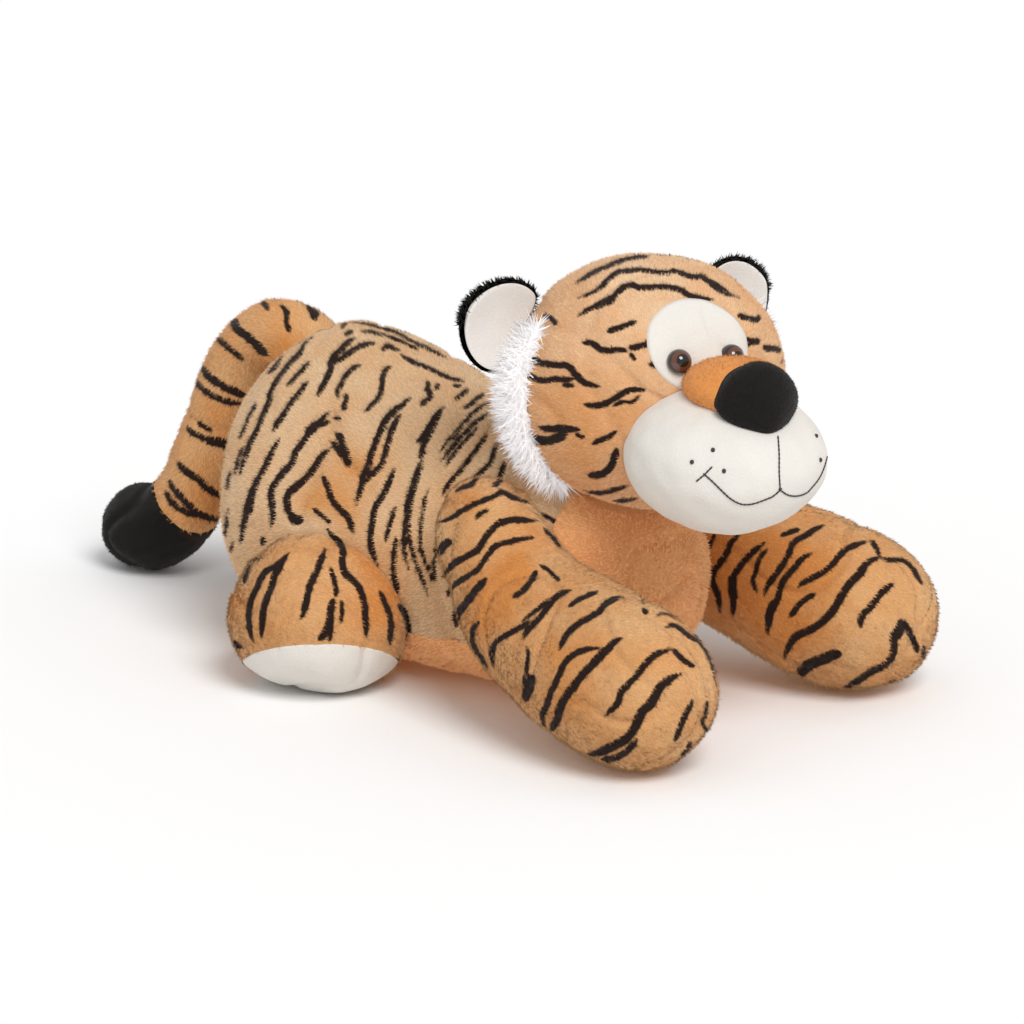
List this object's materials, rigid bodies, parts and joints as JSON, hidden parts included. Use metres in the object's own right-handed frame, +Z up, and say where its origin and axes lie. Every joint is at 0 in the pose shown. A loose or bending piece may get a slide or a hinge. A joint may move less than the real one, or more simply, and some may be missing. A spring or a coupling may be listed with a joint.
{
  "type": "stuffed tiger toy",
  "caption": "Large soft toy tiger lying on its belly, forelegs stretched ahead, head turned aside, tail hooked down to the floor behind.",
  "frame": {"origin": "on the floor under the back of the chest, in the toy's mid-plane, on the flat of the belly", "axes": "+Z up from the floor, -Y the way the toy faces, +X the toy's left"},
  "size_m": [0.436, 0.7954, 0.3826],
  "materials": {
    "torso_pile": "short brushed pile with dark stripes",
    "limb_pile": "short brushed pile with dark stripes",
    "belly_pile": "plain short brushed pile",
    "pale_pile": "smooth velvet pile",
    "black_pile": "short brushed pile",
    "long_pile": "long combed pile",
    "eye_plastic": "polished",
    "washer_plastic": "as moulded",
    "stuffing": "loose polyester fibre"
  },
  "bodies": {
    "torso": {"torso_cover": "torso_pile", "belly_panel": "belly_pile", "torso_stuffing": "stuffing"},
    "neck": {"neck_stuffing": "stuffing"},
    "head": {"head_cover": "torso_pile", "head_stuffing": "stuffing", "eye_patch": "pale_pile", "muzzle_cover": "pale_pile", "muzzle_stuffing": "stuffing", "nose": "black_pile", "nose_bridge": "limb_pile", "eye_left": "eye_plastic", "eye_right": "eye_plastic", "eye_washer_left": "washer_plastic", "eye_washer_right": "washer_plastic", "ruff_left": "long_pile", "ruff_right": "long_pile"},
    "tail": {"tail_cover": "limb_pile", "tail_tip_cover": "black_pile", "tail_stuffing": "stuffing"},
    "foreleg_left": {"foreleg_cover_left": "limb_pile", "foreleg_stuffing_left": "stuffing"},
    "hind_foot_left": {"hind_foot_cover_left": "limb_pile", "hind_foot_sole_left": "pale_pile", "hind_foot_stuffing_left": "stuffing"},
    "ear_left": {"ear_back_left": "black_pile", "ear_lining_left": "pale_pile"},
    "foreleg_right": {"foreleg_cover_right": "limb_pile", "foreleg_stuffing_right": "stuffing"},
    "hind_foot_right": {"hind_foot_cover_right": "limb_pile", "hind_foot_sole_right": "pale_pile", "hind_foot_stuffing_right": "stuffing"},
    "ear_right": {"ear_back_right": "black_pile", "ear_lining_right": "pale_pile"}
  },
  "joints": [
    {"name": "neck_nod", "type": "hinge", "parent": "torso", "child": "neck", "pos_m": [0, -0.045, 0.194], "axis": [1, 0, 0], "range_deg": [-10, 6], "stiffness_Nm_per_rad": 8, "springref_deg": -1.72},
    {"name": "head_turn", "type": "hinge", "parent": "neck", "child": "head", "pos_m": [0, -0.045, 0.194], "axis": [0, 0, 1], "range_deg": [-10, 36], "stiffness_Nm_per_rad": 3},
    {"name": "foreleg_left_splay", "type": "hinge", "parent": "torso", "child": "foreleg_left", "pos_m": [0.098, 0.003, 0.163], "axis": [0, -0.5736, 0.8192], "range_deg": [0, 20], "stiffness_Nm_per_rad": 4},
    {"name": "foreleg_right_splay", "type": "hinge", "parent": "torso", "child": "foreleg_right", "pos_m": [-0.098, 0.003, 0.163], "axis": [0, 0.5736, -0.8192], "range_deg": [0, 20], "stiffness_Nm_per_rad": 4},
    {"name": "hind_foot_left_splay", "type": "hinge", "parent": "torso", "child": "hind_foot_left", "pos_m": [0.128, 0.205, 0.088], "axis": [0, -0.7071, 0.7071], "range_deg": [0, 15], "stiffness_Nm_per_rad": 4},
    {"name": "hind_foot_right_splay", "type": "hinge", "parent": "torso", "child": "hind_foot_right", "pos_m": [-0.128, 0.205, 0.088], "axis": [0, 0.7071, -0.7071], "range_deg": [0, 15], "stiffness_Nm_per_rad": 4},
    {"name": "tail_swing", "type": "hinge", "parent": "torso", "child": "tail", "pos_m": [0, 0.29, 0.222], "axis": [0, 0, 1], "range_deg": [-20, 20], "stiffness_Nm_per_rad": 1},
    {"name": "ear_left_fold", "type": "hinge", "parent": "head", "child": "ear_left", "pos_m": [0.10775, -0.06182, 0.30357], "axis": [0.3563, -0.1158, -0.9272], "range_deg": [-10, 15], "stiffness_Nm_per_rad": 0.3},
    {"name": "ear_right_fold", "type": "hinge", "parent": "head", "child": "ear_right", "pos_m": [-0.06492, -0.00572, 0.31627], "axis": [0.4755, -0.1545, 0.866], "range_deg": [-10, 15], "stiffness_Nm_per_rad": 0.3}
  ]
}
